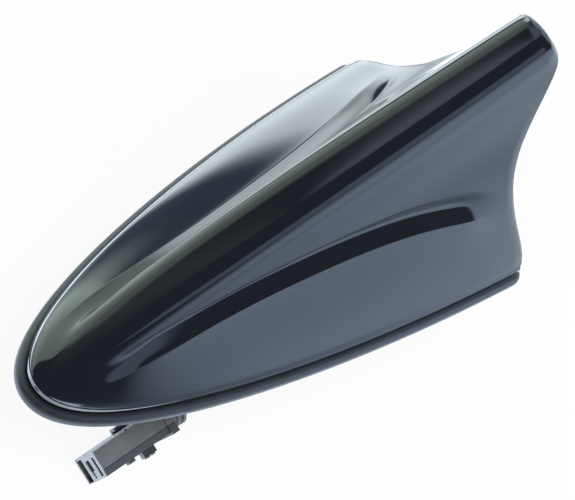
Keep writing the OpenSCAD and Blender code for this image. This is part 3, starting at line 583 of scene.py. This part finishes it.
gloss, gloss_shader = new_material("black gloss", (0.003, 0.0035, 0.004), 0.2)
place = add_node(gloss, "ShaderNodeTexCoord")
peel = add_node(gloss, "ShaderNodeTexNoise", Scale=420.0, Detail=2.0)
join(gloss, place, "Object", peel, "Vector")
peel_bump = add_node(gloss, "ShaderNodeBump", Strength=0.25, Distance=0.01 * mm)
join(gloss, peel, "Fac", peel_bump, "Height")
join(gloss, peel_bump, "Normal", gloss_shader, "Normal")
haze = add_node(gloss, "ShaderNodeTexNoise", Scale=60.0, Detail=4.0)
join(gloss, place, "Object", haze, "Vector")
haze_range = add_node(gloss, "ShaderNodeMapRange", To_Min=0.03, To_Max=0.07)
join(gloss, haze, "Fac", haze_range, "Value")
join(gloss, haze_range, "Result", gloss_shader, "Roughness")
shell.data.materials.clear()
shell.data.materials.append(gloss)
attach(shell, "root")
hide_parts("fin_cover")


# The roof gasket: a soft rubber tray under the cover. Its rounded outer wall stands out all
# round, the base lies in its pocket, and the neck and pegs go through its floor.
gasket_out, gasket_h, gasket_floor = 1.7, 3.4, 2.0
pocket_in, foot_in, foot_h = 0.6, 0.35, 0.5
wall_power = 0.7
wall_n, foot_n, outline_n, corner_n, tail_n = 12, 4, 90, 8, 10
neck_hole_r, peg_hole_r, peg_xs = 9.3, 3.1, (-34, 38)
groove_r0, groove_r1, groove_h = 11.8, 17.2, 1.3
overrun, hole_sides = 1, 96
gasket_smooth = math.radians(40)


def outline(out, rise):
    """The closed line at a distance outside the rim, from the nose along the near side."""
    radius = tail_r + out
    t_end = math.sqrt((run_l + out - radius) / run_l)
    tail_x = cover_l - nose_reach - tail_bulge + out
    half = []
    for k in range(outline_n + 1):
        t = t_end * k / outline_n
        normal = rim_normal(t) if k else (-1, 0)
        half.append(Vector((-nose_reach + run_l * t * t + out * normal[0],
                            -plan_width(t) - out * normal[1], rise)))
    corner_y = plan_width(t_end) + out - radius
    for k in range(1, corner_n + 1):
        a = math.pi / 2 * k / corner_n
        half.append(Vector((tail_x - radius + radius * math.sin(a),
                            -corner_y - radius * math.cos(a), rise)))
    tail = []
    for k in range(1, tail_n):
        c = 2 * k / tail_n - 1
        tail.append(Vector((tail_x + tail_bulge * (1 - c * c), c * corner_y, rise)))
    return half + tail + [Vector((p.x, -p.y, p.z)) for p in half[::-1]]


def pin_cutter(x, r, low, high):
    """An upright pin on the centre line, to cut a round hole with."""
    bpy.ops.object.select_all(action="DESELECT")
    bpy.ops.mesh.primitive_cylinder_add(vertices=hole_sides, radius=r * mm,
                                        depth=(high - low) * mm,
                                        location=(x * mm, 0, (low + high) / 2 * mm))
    return bpy.context.object


def cut(body, cutter):
    """Takes the cutter out of the body."""
    bpy.context.view_layer.objects.active = body
    step = body.modifiers.new("cut", "BOOLEAN")
    step.operation = "DIFFERENCE"
    step.object = cutter
    bpy.ops.object.modifier_apply(modifier="cut")
    bpy.data.objects.remove(cutter)


gasket_lines = [outline(-pocket_in, gasket_floor)]
for k in range(wall_n + 1):
    a = math.pi / 2 * k / wall_n
    gasket_lines.append(
        outline(-pocket_in + (gasket_out + pocket_in) * math.sin(a) ** wall_power,
                foot_h + (gasket_h - foot_h) * math.cos(a) ** wall_power))
for k in range(1, foot_n + 1):
    a = math.pi / 2 * k / foot_n
    gasket_lines.append(outline(gasket_out - foot_in * (1 - math.cos(a)),
                                foot_h * (1 - math.sin(a))))
gasket = lofted("soft_gasket", gasket_lines, closed=True)
cut(gasket, pin_cutter(0, neck_hole_r, -overrun, gasket_h))
for x in peg_xs:
    cut(gasket, pin_cutter(x, peg_hole_r, -overrun, gasket_h))
groove = pin_cutter(0, groove_r1, -overrun, groove_h)
cut(groove, pin_cutter(0, groove_r0, -2 * overrun, gasket_h))
cut(gasket, groove)
bpy.ops.object.select_all(action="DESELECT")
gasket.select_set(True)
bpy.context.view_layer.objects.active = gasket
bpy.ops.object.shade_smooth_by_angle(angle=gasket_smooth)

rubber, rubber_shader = new_material("gasket rubber", (0.016, 0.018, 0.022), 0.45)
grain(rubber, rubber_shader, 0.5 * mm, 0.02 * mm, 0.4, 0.55,
      ((0.013, 0.015, 0.018), (0.02, 0.022, 0.026)))
gasket.data.materials.clear()
gasket.data.materials.append(rubber)
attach(gasket, "root")
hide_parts("roof_gasket")


# The soft seals: a ring round the neck, in the groove of the gasket's underside, and the gland
# that closes the duct where the lead leaves the neck. Both are of the gasket's rubber.
def finish_node(name, material):
    """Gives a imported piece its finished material."""
    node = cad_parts[name]
    node.data.materials.clear()
    node.data.materials.append(material)


finish_node("neck_seal", rubber)
finish_node("lead_gland", rubber)


# The base: a die casting with a black coat, slightly rough from the mould. Its dark colour is
# partly painted shade, so that the gap under the cover's rim reads dark. Its neck, pegs, posts
# and stiffening rib are cast on.
casting, casting_shader = new_material("coated casting", (0.04, 0.042, 0.045), 0.5, 0.6)
grain(casting, casting_shader, 0.7 * mm, 0.03 * mm, 0.38, 0.6,
      ((0.03, 0.031, 0.033), (0.06, 0.062, 0.066)))
finish_node("base_plate", casting)


# The roof fixing: a zinc-plated bolt with a captive head, which draws up a claw of spring
# steel under the roof skin. The board's screws have the bolt's plating.
plated, plated_shader = new_material("zinc plate", (0.55, 0.53, 0.47), 0.35, 1.0)
grain(plated, plated_shader, 0.4 * mm, 0.01 * mm, 0.25, 0.45,
      ((0.42, 0.41, 0.38), (0.62, 0.6, 0.52)))
spring, spring_shader = new_material("spring steel", (0.3, 0.31, 0.33), 0.4, 1.0)
grain(spring, spring_shader, 0.4 * mm, 0.01 * mm, 0.3, 0.5,
      ((0.22, 0.23, 0.25), (0.36, 0.37, 0.39)))
finish_node("fixing_bolt", plated)
finish_node("board_screws", plated)
finish_node("claw_clip", spring)


# The boards: green laminate, with black chips and a tinned can soldered on. The upright board
# has a copper track and stands in a black nylon holder. The copper coil has a tinned foot.
laminate, laminate_shader = new_material("board laminate", (0.03, 0.14, 0.06), 0.45)
grain(laminate, laminate_shader, 0.5 * mm, 0.01 * mm, 0.35, 0.5,
      ((0.02, 0.11, 0.045), (0.04, 0.17, 0.075)))
chip, chip_shader = new_material("chip epoxy", (0.02, 0.02, 0.022), 0.6)
grain(chip, chip_shader, 0.2 * mm, 0.01 * mm, 0.5, 0.7,
      ((0.016, 0.016, 0.018), (0.03, 0.03, 0.032)))
tin, tin_shader = new_material("tin plate", (0.6, 0.61, 0.62), 0.3, 1.0)
grain(tin, tin_shader, 0.6 * mm, 0.01 * mm, 0.22, 0.4, ((0.5, 0.51, 0.52), (0.68, 0.69, 0.7)))
copper, copper_shader = new_material("copper", (0.72, 0.36, 0.16), 0.35, 1.0)
grain(copper, copper_shader, 0.4 * mm, 0.01 * mm, 0.28, 0.45, ((0.6, 0.28, 0.11), (0.8, 0.42, 0.2)))
holder, holder_shader = new_material("holder nylon", (0.02, 0.021, 0.023), 0.55)
grain(holder, holder_shader, 0.4 * mm, 0.01 * mm, 0.45, 0.65,
      ((0.014, 0.015, 0.017), (0.03, 0.031, 0.034)))
for name, material in (
        ("main_board", laminate), ("blade_board", laminate), ("board_chips", chip),
        ("shield_can", tin), ("coil_foot", tin), ("blade_trace", copper),
        ("loading_coil", copper), ("blade_holder", holder)):
    finish_node(name, material)


# The two patches: fired ceramic tiles with a silver film on top and a brass feed pin. The
# lead's socket and the plug's contacts are turned from the same brass.
ceramic, ceramic_shader = new_material("fired ceramic", (0.68, 0.62, 0.52), 0.75)
grain(ceramic, ceramic_shader, 0.5 * mm, 0.02 * mm, 0.65, 0.85,
      ((0.6, 0.54, 0.45), (0.74, 0.69, 0.6)))
silver, silver_shader = new_material("silver film", (0.75, 0.75, 0.74), 0.35, 1.0)
grain(silver, silver_shader, 0.3 * mm, 0.005 * mm, 0.3, 0.45,
      ((0.66, 0.66, 0.64), (0.8, 0.8, 0.79)))
brass, brass_shader = new_material("brass", (0.72, 0.56, 0.24), 0.3, 1.0)
grain(brass, brass_shader, 0.3 * mm, 0.005 * mm, 0.24, 0.4, ((0.6, 0.46, 0.18), (0.78, 0.62, 0.3)))
for name, material in (
        ("sat_patch", ceramic), ("locator_patch", ceramic), ("sat_electrode", silver),
        ("locator_electrode", silver), ("sat_pin", brass), ("locator_pin", brass),
        ("lead_socket", brass), ("plug_contacts", brass)):
    finish_node(name, material)


# The plug: a grey housing with stepped openings, a side latch and a boot. Light and shade are
# painted on it: painted light makes its face paler, its near top side has painted shade with a
# painted shadow line in the groove, its far edge has a painted highlight line, and the latch's
# top has a painted shadow line.
# Painted shade along the near top side, and a painted shadow line in the groove beside it.
shaded_side_y, shaded_side_half = -3.95, 2
groove_shadow_y, groove_shadow_half = -1.85, 0.13
# A painted highlight line along the far top edge, where the edge catches light.
edge_highlight_y, edge_highlight_half = 3.6, 0.16
# Painted light on the front face, which is made paler than the rest of the housing.
lit_face_x, lit_face_half = 0, 0.25
# A painted shadow line along the latch's top, for the shadow gap beside it.
latch_shadow_z, latch_shadow_half = 2.7, 0.12


def plug_axes(material):
    """The place on the plug's own axes, in millimetres, as separate values."""
    place = add_node(material, "ShaderNodeTexCoord")
    turn = add_node(material, "ShaderNodeMapping", Location=plug_face * mm,
                    Rotation=plug_turn.to_euler(), Scale=(mm, mm, mm))
    turn.vector_type = "TEXTURE"
    join(material, place, "Object", turn, "Vector")
    axes = add_node(material, "ShaderNodeSeparateXYZ")
    join(material, turn, "Vector", axes, "Vector")
    return axes


def painted(material, shader, axes, axis, middle, half, colour):
    """Lays painted light or shade over the material, where one of the plug's axes is near a value.
    """
    mask = material.node_tree.nodes.new("ShaderNodeMath")
    mask.operation = "COMPARE"
    mask.inputs[1].default_value = middle
    mask.inputs[2].default_value = half
    join(material, axes, axis, mask, 0)
    mix = material.node_tree.nodes.new("ShaderNodeMix")
    mix.data_type = "RGBA"
    join(material, mask, 0, mix, 0)
    below = shader.inputs["Base Color"].links[0].from_socket
    material.node_tree.links.new(below, mix.inputs[6])
    mix.inputs[7].default_value = (*colour, 1)
    material.node_tree.links.new(mix.outputs[2], shader.inputs["Base Color"])


grey, grey_shader = new_material("plug nylon", (0.12, 0.125, 0.13), 0.5)
grain(grey, grey_shader, 0.4 * mm, 0.02 * mm, 0.42, 0.6,
      ((0.108, 0.113, 0.118), (0.138, 0.143, 0.15)))
grey_axes = plug_axes(grey)
for axis, middle, half, colour in (
        # painted shade on the near top side
        ("Y", shaded_side_y, shaded_side_half, (0.055, 0.06, 0.067)),
        # painted shadow line in the groove
        ("Y", groove_shadow_y, groove_shadow_half, (0.02, 0.022, 0.025)),
        # painted highlight along the far edge
        ("Y", edge_highlight_y, edge_highlight_half, (0.3, 0.32, 0.34)),
        # painted light on the front face
        ("X", lit_face_x, lit_face_half, (0.36, 0.385, 0.42))):
    painted(grey, grey_shader, grey_axes, axis, middle, half, colour)
dark_grey, dark_grey_shader = new_material("latch nylon", (0.1, 0.108, 0.118), 0.5)
grain(dark_grey, dark_grey_shader, 0.4 * mm, 0.02 * mm, 0.42, 0.6,
      ((0.12, 0.128, 0.138), (0.16, 0.17, 0.18)))
# A painted shadow line on the latch's top.
painted(dark_grey, dark_grey_shader, plug_axes(dark_grey), "Z", latch_shadow_z, latch_shadow_half,
        (0.03, 0.032, 0.036))
sleeve, sleeve_shader = new_material("boot rubber", (0.12, 0.125, 0.13), 0.6)
grain(sleeve, sleeve_shader, 0.5 * mm, 0.03 * mm, 0.5, 0.7,
      ((0.09, 0.095, 0.1), (0.16, 0.165, 0.17)))
finish_node("plug_housing", grey)
finish_node("plug_latch", dark_grey)
finish_node("lead_boot", sleeve)
